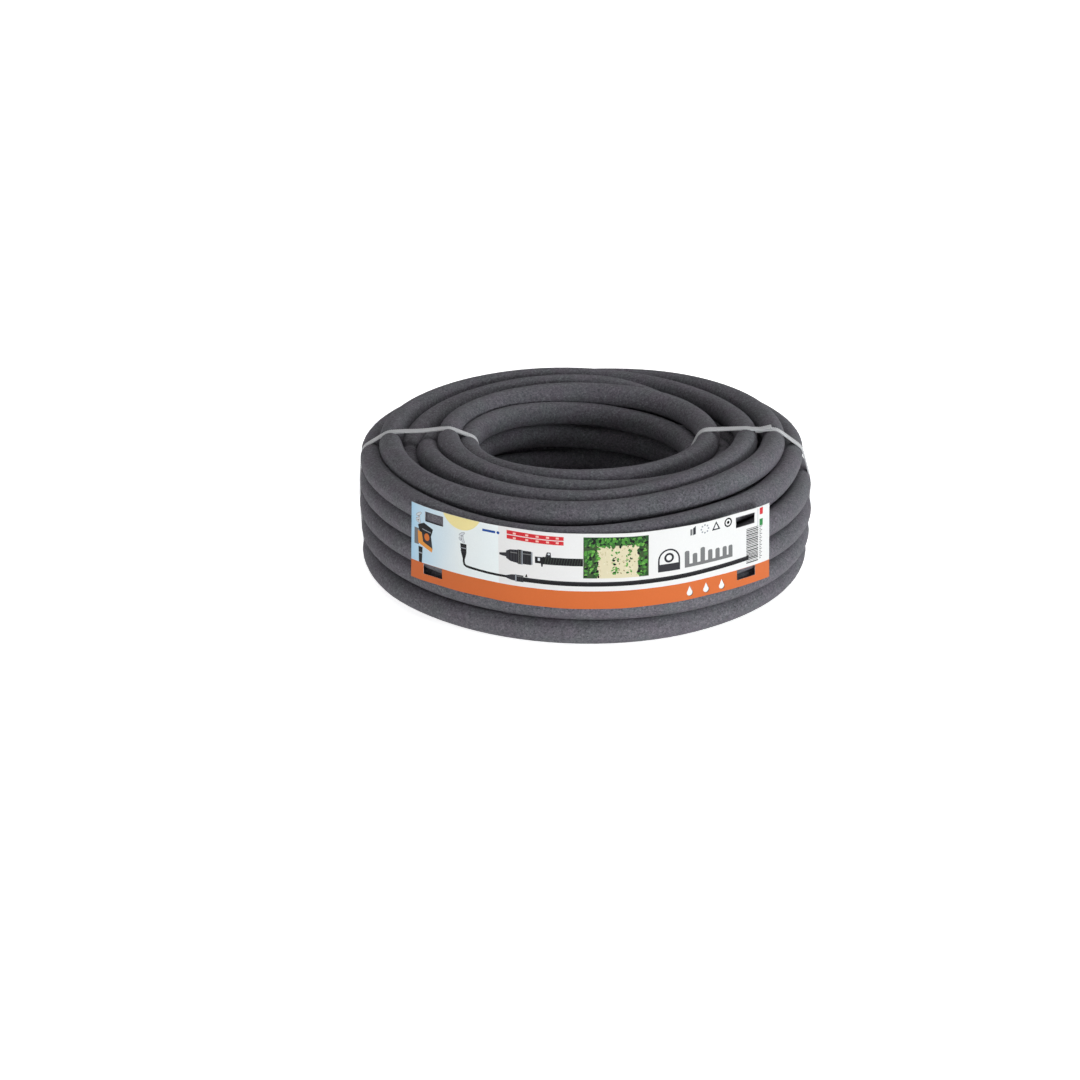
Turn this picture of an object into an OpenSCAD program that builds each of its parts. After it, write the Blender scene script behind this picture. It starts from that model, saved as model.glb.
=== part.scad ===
// Soaker hose wound into a flat round coil, held by two ties, with a
// wrapped label on the front of its outer wall.
// Millimetres. +Z is up, the coil's axis is Z, the label faces -Y, the ties
// stand at -X and +X. The origin is on the floor, under the coil's centre.

/* [Hose] */
// Outside diameter of the hose
hose_od = 19; // [18.6:0.1:19.4]
// Bore of the hose
hose_bore = 13; // [10:0.5:15]

/* [Coil] */
// Radius from the coil's axis to the middle of the outermost turns
coil_r = 170; // [166:1:174]
// Height from one turn of the outer wall to the next
turn_pitch = 18.7; // [18.4:0.1:18.8]
// Straight length of the free outer end
outer_end_len = 45; // [30:1:50]
// Straight length of the free inner end
inner_end_len = 16; // [12:1:17]

/* [Ties] */
// Width of a tie
tie_w = 6; // [4:0.5:8]
// Thickness of a tie
tie_t = 1.2; // [0.8:0.1:1.4]
// Depth by which the ties sink into the hose
tie_sink = 1.4; // [1.2:0.1:2]

/* [Label] */
// Height of the label
label_h = 60; // [50:1:62]
// Height of the label's lower edge above the floor
label_z = 31.5; // [30:0.5:34]
// Thickness of the label
label_t = 0.35; // [0.2:0.05:0.6]
// Angle of the label around the coil, left of the front
label_left = 47.5; // [40:0.5:55]
// Angle of the label around the coil, right of the front
label_right = 51; // [40:0.5:55]
// Width of the windows in the label
window_w = 19; // [12:1:22]
// Height of the windows in the label
window_h = 8.6; // [6:0.2:10]

/* [Hidden] */
$fn = 96;

hr = hose_od / 2;
br = hose_bore / 2;

// Section of the coil, as [radius, height] of each turn on its outline.
// The outer wall has five turns, from the floor up.
function wall(k) = [coil_r, hr + k * turn_pitch];
// the rows across the top and the inner wall
t_b = [coil_r - 16, 96.5];
t_g = [coil_r - 32, 88.5];
t_c = [coil_r - 47, 96.5];
t_d = [coil_r - 62.5, 93];
t_e = [coil_r - 79, 96.5];
i_2 = [coil_r - 81.5, 79];
i_3 = [coil_r - 81.5, 60.4];
i_4 = [coil_r - 81.5, 41.8];
i_5 = [coil_r - 81.5, 23.4];
// the row on the floor
b_5 = [coil_r - 72, hr];
b_4 = [coil_r - 54, hr];
b_3 = [coil_r - 36, hr];
b_2 = [coil_r - 18, hr];
// the last part turn, which lies on the floor inside the hole
i_end = [coil_r - 96.5, hr];

// turns that go right round
ROUND = [wall(0), wall(1), wall(2), wall(3), t_b, t_g, t_c, t_d, t_e,
         i_2, i_3, i_4, i_5, b_5, b_4, b_3, b_2];
// heart of the section, between the outer turns' middles
CORE = [wall(0), wall(1), wall(2), wall(3),
        [coil_r - 11.5, 79], t_b, t_g, t_c, t_d, t_e,
        i_2, i_3, i_4, i_5, b_5];
// what joins the top outer turn, and the part turn, to the heart
WEB_TOP = [wall(3), wall(4), t_b, [coil_r - 24, 82], [coil_r - 14, 70]];
WEB_END = [i_end, b_5, [coil_r - 64, 18], [coil_r - 70, 26], i_5];
// outlines that the ties lie round: the middles of the corner turns. The
// tie at +X also holds the part turn on the floor.
RIM_LEFT = [wall(0), wall(4), t_b, t_e, i_2, i_5, b_5];
RIM_RIGHT = [wall(0), wall(4), t_b, t_e, i_end];
function rim(s) = s < 0 ? RIM_LEFT : RIM_RIGHT;

// the top turn of the outer wall starts at the outer end
outer_a = 55;
notch_a = 50;
// the part turn on the floor runs clockwise from the back to the front
inner_from = 100;
inner_to = -90;
// half the angle over which a tie pinches the turns
pinch_a = 3.2;

module at_rz(p) { translate(p) children(); }

// a closed outline at distance r round the corners of a polygon that is
// listed anticlockwise, with rounded corners
ARC_STEPS = 8;
function outward(a, b) = [(b - a)[1], -(b - a)[0]] / norm(b - a);
function turn_angle(o) = atan2(o[1], o[0]);
function outline(pts, r) = [
    for (i = [0 : len(pts) - 1])
        let (n = len(pts), p = pts[i],
             a0 = turn_angle(outward(pts[(i + n - 1) % n], p)),
             a1 = turn_angle(outward(p, pts[(i + 1) % n])),
             da = a1 < a0 ? a1 - a0 + 360 : a1 - a0)
        for (k = [0 : ARC_STEPS])
            p + r * [cos(a0 + da * k / ARC_STEPS), sin(a0 + da * k / ARC_STEPS)]
];
module around(pts, r) { polygon(outline(pts, r)); }

// the slab that a tie stands in, at the side given by s
module stand(s, w) {
    translate([0, w / 2, 0]) rotate([90, 0, 0])
        linear_extrude(height = w)
            mirror([s < 0 ? 1 : 0, 0]) children();
}

module tie(s) {
    stand(s, tie_w) difference() {
        around(rim(s), hr - tie_sink + tie_t);
        around(rim(s), hr - tie_sink);
    }
}

// part of a round turn, from one angle to another
module sweep(from, to) {
    rotate([0, 0, from]) rotate_extrude(angle = to - from) children();
}

// the corners of a polygon listed anticlockwise, moved in from its edges
function inset(pts, d) = [
    for (i = [0 : len(pts) - 1])
        let (n = len(pts), p = pts[i],
             a = outward(pts[(i + n - 1) % n], p),
             b = outward(p, pts[(i + 1) % n]))
        p - d * (a + b) / (1 + a * b)
];

// sections: r is the radius of the hose, smaller where a tie pinches it
module section(r) {
    polygon(inset(CORE, hr - r));
    for (p = ROUND) at_rz(p) circle(r = r);
}
module section_top(r) {
    polygon(inset(WEB_TOP, hr - r));
    at_rz(wall(4)) circle(r = r);
}
module section_end(r) {
    polygon(inset(WEB_END, hr - r));
    at_rz(i_end) circle(r = r);
}

module hose_coil() {
    pr = hr - tie_sink - 0.05;
    // small steps between the ends of the sweeps
    e = 0.6;
    color([0.27, 0.27, 0.29]) union() {
        // the pinched section goes right round inside the full one
        rotate_extrude() section(pr);
        // full section: the back half, then the front half with the top turn
        sweep(pinch_a, 180 - pinch_a) section(hr);
        sweep(180 + pinch_a, 360 - pinch_a) { section(hr); section_top(hr); }
        // top turn of the outer wall, open at the back where it starts
        sweep(outer_a + notch_a + e, 360 + outer_a - e) section_top(pr);
        sweep(outer_a + notch_a, 180 - pinch_a - e) section_top(hr);
        sweep(pinch_a + e, outer_a) section_top(hr);
        // part turn on the floor inside the hole
        sweep(inner_to + e, inner_from - e) section_end(pr);
        sweep(inner_to, -pinch_a - e) section_end(hr);
        sweep(pinch_a + e, inner_from) section_end(hr);
    }
}

// straight free end of the hose, leaving the top outer turn at a tangent
module hose_outer_end() {
    color([0.27, 0.27, 0.29])
        rotate([0, 0, outer_a]) translate([coil_r, 0, wall(4)[1] + 0.6])
            rotate([-90, 0, 0]) difference() {
                cylinder(r = hr, h = outer_end_len);
                translate([0, 0, -1]) cylinder(r = br, h = outer_end_len + 2);
            }
}

// straight free end of the hose on the floor inside the hole
module hose_inner_end() {
    color([0.27, 0.27, 0.29])
        rotate([0, 0, inner_to]) translate([i_end[0], 0, i_end[1]])
            rotate([90, 0, 0]) difference() {
                cylinder(r = hr, h = inner_end_len);
                translate([0, 0, -1]) cylinder(r = br, h = inner_end_len + 2);
            }
}

module tie_left() { color([0.68, 0.68, 0.69]) tie(-1); }

module tie_right() { color([0.68, 0.68, 0.69]) tie(1); }

module window_cut(a, z) {
    rotate([0, 0, a]) translate([coil_r, -window_w / 2, z - window_h / 2])
        cube([20, window_w, window_h]);
}

// thin printed band on the outer wall, with four windows near its ends
module label_band() {
    r0 = coil_r + hr + 0.1;
    color([0.93, 0.93, 0.92]) difference() {
        rotate([0, 0, -90 - label_left])
            rotate_extrude(angle = label_left + label_right, $fn = 180)
                translate([r0, label_z]) square([label_t, label_h]);
        for (z = [label_z + 10, label_z + label_h - 7.5]) {
            window_cut(-90 - label_left + 7.3, z);
            window_cut(-90 + label_right - 8, z - 2);
        }
    }
}

hose_coil();
hose_outer_end();
hose_inner_end();
tie_left();
tie_right();
label_band();
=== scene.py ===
# Soaker hose coil: one long porous rubber hose wound into a round coil, two
# flat ribbed ties and a wrapped printed label, on a pale studio floor.
import math

import bmesh
import bpy
import numpy as np
from mathutils import Matrix, Vector
from mathutils.geometry import delaunay_2d_cdt


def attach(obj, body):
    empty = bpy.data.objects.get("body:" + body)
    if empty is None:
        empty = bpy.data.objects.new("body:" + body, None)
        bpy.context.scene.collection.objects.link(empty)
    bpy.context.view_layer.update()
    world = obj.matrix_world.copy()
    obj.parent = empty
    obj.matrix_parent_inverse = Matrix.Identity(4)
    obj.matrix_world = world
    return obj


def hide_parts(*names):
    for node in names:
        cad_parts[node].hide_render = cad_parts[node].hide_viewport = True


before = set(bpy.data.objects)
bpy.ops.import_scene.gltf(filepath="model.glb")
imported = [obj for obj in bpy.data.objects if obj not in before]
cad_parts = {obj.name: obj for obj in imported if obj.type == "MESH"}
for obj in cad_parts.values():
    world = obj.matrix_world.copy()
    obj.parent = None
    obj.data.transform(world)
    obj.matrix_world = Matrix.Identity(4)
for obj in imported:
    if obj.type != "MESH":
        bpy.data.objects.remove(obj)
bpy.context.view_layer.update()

D = 0.019  # outside diameter of the hose, the unit of the winding tables
SCENE = bpy.context.scene

# --------------------------------------------------------------------------
# camera
# --------------------------------------------------------------------------
ELEV = math.radians(22.15)
TARGET = Vector((0.0, 0.0, 2.9 * D))
DIST = 115 * D
FOCAL = 2735.9 / 1080.0 * 36.0
AIM = (45.5 / 2735.9, 51.7 / 2735.9)  # the target stands right of and above the middle

cam_data = bpy.data.cameras.new("view")
cam = bpy.data.objects.new("view", cam_data)
SCENE.collection.objects.link(cam)
SCENE.camera = cam
cam_data.sensor_width = 36.0
cam_data.sensor_fit = "HORIZONTAL"
cam_data.lens = FOCAL
cam_data.clip_start = 0.05
cam_data.clip_end = 50
cam.location = TARGET + DIST * Vector((0, -math.cos(ELEV), math.sin(ELEV)))
look = (TARGET - cam.location).normalized()
right = look.cross(Vector((0, 0, 1))).normalized()
up = right.cross(look)
fwd = (look - AIM[0] * right - AIM[1] * up).normalized()
right = fwd.cross(Vector((0, 0, 1))).normalized()
up = right.cross(fwd)
cam.matrix_world = Matrix.Translation(cam.location) @ Matrix(
    ((right.x, up.x, -fwd.x), (right.y, up.y, -fwd.y), (right.z, up.z, -fwd.z))
).to_4x4()


# --------------------------------------------------------------------------
# winding
# --------------------------------------------------------------------------
# Places of the hose's middle line as (radius, height) in diameters, every 15
# degrees, clockwise from above. TOP starts at the outer end at the back right,
# LOW is the loose turn that lies deeper in the top row on the left.
TOP = [
    (8.97, 4.45), (8.95, 4.47), (8.86, 4.50), (8.70, 4.54), (8.48, 4.52), (8.35, 4.45), (8.34, 4.42),
    (8.41, 4.48), (8.58, 4.51), (8.79, 4.47), (8.97, 4.41), (9.02, 4.42), (8.96, 4.48), (8.88, 4.53),
    (8.87, 4.53), (8.91, 4.49), (8.97, 4.44), (9.06, 4.38), (9.12, 4.33), (9.15, 4.32), (9.09, 4.35),
    (8.96, 4.46), (8.73, 4.63), (8.46, 4.83), (8.21, 4.99), (8.03, 5.09), (7.93, 5.15), (7.85, 5.17),
    (7.76, 5.17), (7.64, 5.17), (7.52, 5.17), (7.47, 5.12), (7.49, 5.05), (7.56, 4.98), (7.64, 4.93),
    (7.74, 4.93), (7.84, 4.94), (7.94, 4.95), (8.02, 4.98), (8.11, 5.01), (8.19, 5.00), (8.24, 4.98),
    (8.23, 4.96), (8.18, 4.97), (8.07, 4.98), (7.91, 4.98), (7.70, 4.96), (7.47, 4.95), (7.24, 4.94),
    (7.02, 4.96), (6.84, 5.03), (6.72, 5.14), (6.63, 5.24), (6.56, 5.29), (6.51, 5.29), (6.49, 5.24),
    (6.52, 5.13), (6.58, 5.02), (6.64, 4.99), (6.69, 4.99), (6.73, 5.02), (6.73, 5.04), (6.70, 5.00),
    (6.62, 4.86), (6.49, 4.65), (6.32, 4.39), (6.12, 4.14), (5.93, 3.92), (5.76, 3.76), (5.63, 3.66),
    (5.54, 3.62), (5.48, 3.66), (5.46, 3.74), (5.48, 3.88), (5.55, 4.07), (5.65, 4.27), (5.73, 4.45),
    (5.75, 4.60), (5.70, 4.72), (5.62, 4.81), (5.56, 4.88), (5.53, 4.95), (5.54, 5.00), (5.58, 5.04),
    (5.63, 5.09), (5.68, 5.13), (5.71, 5.17), (5.73, 5.19), (5.73, 5.19), (5.72, 5.17), (5.70, 5.13),
    (5.67, 5.12), (5.63, 5.11), (5.58, 5.11), (5.52, 5.10), (5.46, 5.10), (5.40, 5.11), (5.33, 5.10),
    (5.25, 5.08), (5.15, 5.09), (5.04, 5.10), (4.91, 5.10), (4.79, 5.10), (4.68, 5.09), (4.60, 5.08),
    (4.55, 5.07), (4.55, 5.04), (4.59, 5.01), (4.65, 4.96), (4.75, 4.91), (4.85, 4.87), (4.92, 4.86),
    (4.93, 4.85), (4.89, 4.82), (4.84, 4.77), (4.81, 4.71), (4.78, 4.61), (4.76, 4.52), (4.73, 4.43),
    (4.67, 4.35), (4.62, 4.32), (4.59, 4.30), (4.59, 4.28), (4.64, 4.24), (4.72, 4.18), (4.85, 4.11),
    (5.01, 4.03),
]
LOW = [
    (7.08, 4.05), (7.18, 4.14), (7.32, 4.27), (7.39, 4.43), (7.35, 4.60), (7.26, 4.76), (7.11,
    4.89), (6.94, 5.00), (6.77, 5.07), (6.61, 5.09), (6.48, 5.01), (6.36, 4.74), (6.33, 4.42),
    (6.44, 4.18), (6.67, 4.10), (6.95, 4.14), (7.19, 4.16), (7.36, 4.12), (7.44, 4.01),
]
# the front of the outer wall, from the right (107.5) to the left (-102.5): turns 9 to 12
WALL = [
    [
        (8.92, 3.48), (8.91, 3.49), (8.90, 3.50), (8.90, 3.51), (8.90, 3.51), (8.90, 3.50),
        (8.90, 3.47), (8.88, 3.45), (8.86, 3.45), (8.85, 3.49), (8.85, 3.54), (8.88, 3.56),
        (8.92, 3.54), (8.96, 3.50), (8.98, 3.44),
    ],
    [
        (8.91, 2.46), (8.94, 2.45), (8.96, 2.45), (8.96, 2.48), (8.94, 2.51), (8.92, 2.51),
        (8.91, 2.49), (8.91, 2.48), (8.90, 2.48), (8.90, 2.52), (8.90, 2.56), (8.93, 2.58),
        (8.97, 2.56), (8.99, 2.52), (9.00, 2.46),
    ],
    [
        (8.89, 1.49), (8.89, 1.47), (8.91, 1.47), (8.94, 1.47), (8.95, 1.48), (8.94, 1.49),
        (8.92, 1.49), (8.89, 1.50), (8.86, 1.51), (8.85, 1.54), (8.85, 1.55), (8.88, 1.55),
        (8.92, 1.53), (8.95, 1.50), (8.98, 1.47),
    ],
    [
        (8.92, 0.50), (8.83, 0.50), (8.78, 0.50), (8.79, 0.50), (8.83, 0.51), (8.89, 0.51),
        (8.96, 0.49), (8.98, 0.48), (8.97, 0.50), (8.96, 0.51), (8.96, 0.52), (8.97, 0.50),
        (8.94, 0.49), (8.92, 0.49), (8.87, 0.50),
    ],
]
# the third ring down on the inner wall at the back: turn 26, from the left (-102.5)
INNER = [
    (5.01, 3.88), (4.92, 3.83), (4.84, 3.76), (4.76, 3.67), (4.68, 3.57), (4.60, 3.47), (4.56,
    3.40), (4.55, 3.36), (4.59, 3.32), (4.66, 3.30), (4.75, 3.28),
]
# hidden turns: at the right, the front, the left and the back
DEEP = {
    5: [(4.95, 4.10), (5.00, 4.00), (5.70, 3.85), (6.40, 3.00)],
    6: [(5.55, 3.40), (5.75, 3.95), (6.50, 3.90), (6.75, 4.10)],
    7: [(6.35, 3.72), (6.65, 4.05), (7.40, 4.60), (6.83, 5.10)],
    8: [(7.20, 4.35), (8.05, 4.05), (8.15, 3.90), (8.10, 3.95)],
    9: [(8.95, 3.50), (8.95, 3.47), (8.95, 3.50), (8.95, 3.00)],
    10: [(8.95, 2.45), (8.95, 2.47), (8.95, 2.50), (8.95, 2.00)],
    11: [(8.95, 1.45), (8.95, 1.47), (8.95, 1.50), (8.95, 1.00)],
    12: [(8.80, 0.50), (8.93, 0.50), (8.88, 0.50), (8.50, 0.50)],
    13: [(8.00, 0.80), (8.05, 0.85), (8.05, 0.80), (7.70, 0.60)],
    14: [(7.20, 0.50), (7.20, 0.50), (7.20, 0.50), (6.80, 0.50)],
    15: [(6.35, 0.85), (6.35, 0.85), (6.35, 0.85), (6.00, 0.70)],
    16: [(5.50, 0.50), (5.50, 0.50), (5.50, 0.50), (5.50, 1.00)],
    17: [(5.70, 1.55), (5.70, 1.55), (5.75, 1.55), (6.10, 1.70)],
    18: [(6.50, 1.90), (6.50, 1.90), (6.50, 1.90), (6.90, 1.70)],
    19: [(7.30, 1.50), (7.30, 1.50), (7.30, 1.50), (7.70, 1.70)],
    20: [(8.10, 1.90), (8.10, 1.90), (8.10, 1.90), (8.10, 2.40)],
    21: [(8.05, 3.00), (8.10, 3.00), (8.10, 2.95), (8.10, 3.10)],
    22: [(7.75, 3.65), (7.35, 3.15), (7.35, 3.35), (7.40, 3.45)],
    23: [(7.30, 2.85), (7.15, 2.25), (7.25, 2.40), (7.40, 2.45)],
    24: [(6.40, 2.80), (6.40, 3.30), (6.35, 2.95), (6.70, 2.20)],
    25: [(6.50, 2.10), (6.20, 2.30), (5.60, 2.30), (5.90, 2.20)],
    26: [(5.75, 2.50), (5.75, 2.90), (4.98, 3.85), (4.75, 3.30)],
    27: [(4.95, 3.10), (4.98, 3.00), (4.98, 2.85), (4.85, 2.35)],
    28: [(4.95, 2.10), (4.95, 2.00), (4.95, 1.85), (4.90, 1.40)],
    29: [(4.95, 1.10), (4.90, 1.00), (3.80, 0.80), (4.10, 0.50)],
    30: [(3.87, 0.50), (3.87, 0.50)],
}
VIA = [
    (2065, 5.40, 3.50), (2080, 5.50, 3.25), (2095, 5.80, 2.90), (2110, 6.10, 2.90),
    (2530, 6.35, 3.40), (2552, 6.32, 3.50), (2597, 6.40, 3.90), (3218, 8.42, 3.70),
]
OUTER_TURNS = (9, 10, 11, 12)
INNER_TURNS = (26, 27, 28)

DS = 7.5  # step of the winding in degrees
START = 145.0  # angle from the front at which the winding starts
TURNS = 30


def spline(xk, yk, x):
    n = len(xk)
    h = np.diff(xk)
    A = np.zeros((n, n))
    b = np.zeros(n)
    A[0, 0] = A[-1, -1] = 1
    for i in range(1, n - 1):
        A[i, i - 1], A[i, i], A[i, i + 1] = h[i - 1], 2 * (h[i - 1] + h[i]), h[i]
        b[i] = 6 * ((yk[i + 1] - yk[i]) / h[i] - (yk[i] - yk[i - 1]) / h[i - 1])
    m = np.linalg.solve(A, b)
    j = np.clip(np.searchsorted(xk, x) - 1, 0, n - 2)
    t, H = x - xk[j], h[j]
    return (
        yk[j]
        + t * ((yk[j + 1] - yk[j]) / H - H * (2 * m[j] + m[j + 1]) / 6)
        + t * t * m[j] / 2
        + t**3 * (m[j + 1] - m[j]) / (6 * H)
    )


def wind(steps=900):
    """(radius, height) in diameters at every step. The turns in the tables
    stay put and the hidden ones are pushed apart until they lie clear."""
    s = np.arange(0, START + 5 + 360 * TURNS + 0.1, DS)
    n = len(s)
    P = np.zeros((n, 2))
    m = s <= 1852
    hard = np.zeros(n, bool)

    def pin(table, first):
        knots = np.array(table)
        d = s - first
        on = (d >= 0) & (d <= 15 * (len(knots) - 1)) & (m if first == 0 else d > -1)
        for k in (0, 1):
            P[on, k] = spline(np.arange(len(knots)) * 15.0, knots[:, k], d[on])
        hard[on] = True

    pin(TOP, 0)
    pin(LOW, START + 42.5 + 360 * 7)
    for i, table in enumerate(WALL):
        pin(table, 37.5 + 360 * (9 + i))
    pin(INNER, 247.5 + 360 * 26)
    hard = hard[:, None]
    kx, kv = [], []
    for k in sorted(DEEP):
        for j, p in enumerate(DEEP[k]):
            kx.append(55 + 360 * k + 90 * j)
            kv.append(p)
    for a, r, z in VIA:
        kx.append(a)
        kv.append((r, z))
    order = np.argsort(kx)
    kx, kv = np.array(kx, float)[order], np.array(kv)[order]
    j = np.clip(np.searchsorted(kx, s) - 1, 0, len(kx) - 2)
    t = np.clip((s - kx[j]) / (kx[j + 1] - kx[j]), 0, 1)[:, None]
    w = t * t * (3 - 2 * t)
    P = np.where(hard, P, kv[j] * (1 - w) + kv[j + 1] * w)
    soft = np.zeros(n)
    for k in OUTER_TURNS:
        soft[(s >= 45 + 360 * k) & (s <= 245 + 360 * k)] = 0.5
    for k in INNER_TURNS:
        soft[(s >= 255 + 360 * k) & (s <= 395 + 360 * k)] = 0.3
    soft[s >= 55 + 360 * (TURNS - 1) + 150] = 0.8
    home = P.copy()
    sectors = int(360 / DS)
    rings = int(np.ceil(n / sectors))
    idx = np.arange(rings * sectors).reshape(rings, sectors).T
    valid = idx < n
    idc = np.where(valid, idx, 0)
    th = (START - DS * np.arange(sectors)) % 180
    near = (0.985 - 0.15 * np.exp(-(((th - 90) / 7.0) ** 2)))[:, None, None]
    pair = valid[:, :, None] & valid[:, None, :] & ~np.eye(rings, dtype=bool)[None]
    for _ in range(steps):
        A = P[idc]
        d = A[:, :, None, :] - A[:, None, :, :]
        dist = np.hypot(d[..., 0], d[..., 1]) + 1e-9
        over = np.where(pair, np.maximum(0, near - dist), 0)
        push = ((over / dist)[..., None] * d * 0.45).sum(2)
        f = np.zeros_like(P)
        np.add.at(f, idc[valid], push[valid])
        P = np.where(hard, home, P + f)
        P = np.where(hard, home, P + 0.25 * soft[:, None] * (home - P))
        a, b = np.zeros_like(P), np.zeros_like(P)
        a[1:-1] = 0.5 * (P[:-2] + P[2:]) - P[1:-1]
        b[1:-1] = 0.5 * (a[:-2] + a[2:]) - a[1:-1]
        P = np.where(hard, P, P + 0.10 * a - 0.35 * b)
        P[:, 1] = np.maximum(P[:, 1], 0.5)
        P[:, 0] = np.where(hard[:, 0], P[:, 0], np.clip(P[:, 0], 3.8, 8.97))
        P[:, 0] = np.where(hard[:, 0] | (s > 55 + 360 * (TURNS - 2) + 250), P[:, 0], np.maximum(P[:, 0], 4.55))
    return s, P


wind_s, wind_p = wind()


def centreline():
    """Ring centres of the hose in metres, the angle of each from the front in degrees, and the distance from a tie's
    plane."""
    # angles: even steps, and short steps round the planes of the ties
    s_end = START + 360 * TURNS
    base = np.append(np.arange(0, s_end - 1, 3.75), s_end)
    extra = []
    k = 0
    while True:
        a = START - 90 + 180 * k  # s at which the hose crosses a tie's plane
        if a > s_end:
            break
        r = np.interp(a, wind_s, wind_p[:, 0]) * D
        for mm in (0, 1, 2, 3, 4, 5.2, 6.6, 8.4):
            da = math.degrees(mm / 1000 / r)
            extra += [a - da, a + da] if mm else [a]
        k += 1
    extra = np.array([a for a in extra if 0 < a < s_end])
    keep = np.array([np.abs(extra - b).min() > 0.45 for b in base])
    s = np.sort(np.concatenate([base[keep], extra]))
    # cubic through the winding
    r = spline_even(wind_s, wind_p[:, 0], s) * D
    z = spline_even(wind_s, wind_p[:, 1], s) * D
    th = np.radians(START - s)
    pts = np.stack([r * np.sin(th), -r * np.cos(th), z], 1)
    planes = ((s - (START - 90) + 90) % 180) - 90
    off = np.radians(np.abs(planes)) * r
    return s, pts, off


def spline_even(xk, yk, x):
    """Cubic convolution on even knots."""
    h = xk[1] - xk[0]
    j = np.clip(((x - xk[0]) / h).astype(int), 0, len(xk) - 2)
    t = (x - xk[j]) / h
    y0 = yk[np.maximum(j - 1, 0)]
    y1, y2 = yk[j], yk[j + 1]
    y3 = yk[np.minimum(j + 2, len(yk) - 1)]
    return y1 + 0.5 * t * (
        y2 - y0 + t * (2 * y0 - 5 * y1 + 4 * y2 - y3 + t * (3 * (y1 - y2) + y3 - y0))
    )


ring_s, ring_p, ring_off = centreline()
# straight free ends: the outer one at a tangent, as in the CAD, and the inner
a0 = math.radians(START)
out_start = np.array([8.9474 * D * math.sin(a0), -8.9474 * D * math.cos(a0), ring_p[0, 2]])
mount_out = np.array([0.060646, 0.165067, 0.0849])
lead = mount_out - ring_p[0]
steps = np.linspace(1, 0, 9)[:-1]
out_pts = ring_p[0] + lead * steps[:, None]
direction = np.array([-1.0, 0.0, 0.0])
in_pts = ring_p[-1] + direction * (np.array([2, 4, 6, 8, 10, 12, 14, 16.0]) / 1000)[:, None]
path = np.concatenate([out_pts, ring_p, in_pts])
off = np.concatenate([np.full(len(out_pts), 1.0), ring_off, np.full(len(in_pts), 1.0)])
length = np.linalg.norm(np.diff(path, axis=0), axis=1).sum()
print("hose length %.3f m, rings %d" % (length, len(path)))


def tube(name, pts, radius, sides, bore, deep=0.06):
    """A bored tube along points. Its bore is open from each end to a depth, and
    the far end of each bore is closed."""
    n = len(pts)
    t = np.gradient(pts, axis=0)
    t /= np.linalg.norm(t, axis=1)[:, None]
    up = np.array([0, 0, 1.0])
    side = np.cross(t, up)
    side /= np.linalg.norm(side, axis=1)[:, None]
    nrm = np.cross(side, t)
    a = np.linspace(0, 2 * np.pi, sides, endpoint=False)
    ca, sa = np.cos(a), np.sin(a)
    along = np.concatenate([[0], np.cumsum(np.linalg.norm(np.diff(pts, axis=0), axis=1))])
    verts = []

    def add(i, r, ahead=0.0):
        verts.append(pts[i] + r * (ca[:, None] * side[i] + sa[:, None] * nrm[i]) + t[i] * ahead)

    # up the bore to the first mouth, round its rim, along the outside, round
    # the other rim and back into its bore
    for i in np.where(along < deep)[0][:0:-1]:
        add(i, bore)
    for r, ahead in ((bore, 0.0009), (bore + 0.0003, 0.0002), (bore + 0.0009, 0.0)):
        add(0, r, ahead)
    add(0, radius[0] - 0.0009)
    add(0, radius[0] - 0.0003, 0.0002)
    add(0, radius[0], 0.0009)
    for i in range(1, n - 1):
        add(i, radius[i])
    add(n - 1, radius[-1], -0.0009)
    add(n - 1, radius[-1] - 0.0003, -0.0002)
    add(n - 1, radius[-1] - 0.0009)
    for r, ahead in ((bore + 0.0009, 0.0), (bore + 0.0003, -0.0002), (bore, -0.0009)):
        add(n - 1, r, ahead)
    for i in np.where(along[-1] - along < deep)[0][-2::-1]:
        add(i, bore)
    V = np.concatenate(verts)
    rows = len(verts)
    i = np.arange(rows - 1)[:, None] * sides
    j = np.arange(sides)[None, :]
    k = (j + 1) % sides
    F = np.stack([i + j, i + sides + j, i + sides + k, i + k], -1).reshape(-1, 4)
    faces = F.tolist() + [list(range(sides)), list(range((rows - 1) * sides, rows * sides))[::-1]]
    mesh = bpy.data.meshes.new(name)
    mesh.from_pydata(V.tolist(), [], faces)
    mesh.update()
    # the map named OFBake: the length folded into rows
    mid = np.array([v.mean(0) for v in verts])
    ran = np.concatenate([[0], np.cumsum(np.maximum(0.0004, np.linalg.norm(np.diff(mid, axis=0), axis=1)))])
    folds = 20
    row_len = ran[-1] / folds
    fold = np.minimum((ran[:-1] / row_len).astype(int), folds - 1)
    u0 = 0.004 + 0.975 * (ran[:-1] - fold * row_len) / row_len
    u1 = 0.004 + 0.975 * (ran[1:] - fold * row_len) / row_len
    v0 = (fold[:, None] + 0.04 + 0.92 * np.arange(sides)[None] / sides) / folds
    v1 = v0 + 0.92 / sides / folds
    u0, u1 = u0[:, None] + 0 * v0, u1[:, None] + 0 * v0
    uv = np.stack([u0, v0, u1, v0, u1, v1, u0, v1], -1).reshape(-1, 2)
    ends = np.zeros((2 * sides, 2)) + [0.998, 0.5 / folds]
    layer = mesh.uv_layers.new(name="OFBake")
    layer.data.foreach_set("uv", np.concatenate([uv, ends]).ravel())
    obj = bpy.data.objects.new(name, mesh)
    SCENE.collection.objects.link(obj)
    mesh.polygons.foreach_set("use_smooth", [True] * len(mesh.polygons))
    return obj


R_HOSE = D / 2


def sink(side, k):
    """How deep the tie at a side presses into turn k."""
    if side > 0:
        return {0: 0.0007, 4: 0.0009}.get(k, 0.00185)
    return {0: 0.0022, 4: 0.0027, 9: 0.001, 10: 0.001, 11: 0.001, 12: 0.0018}.get(k, 0.0031)


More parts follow.
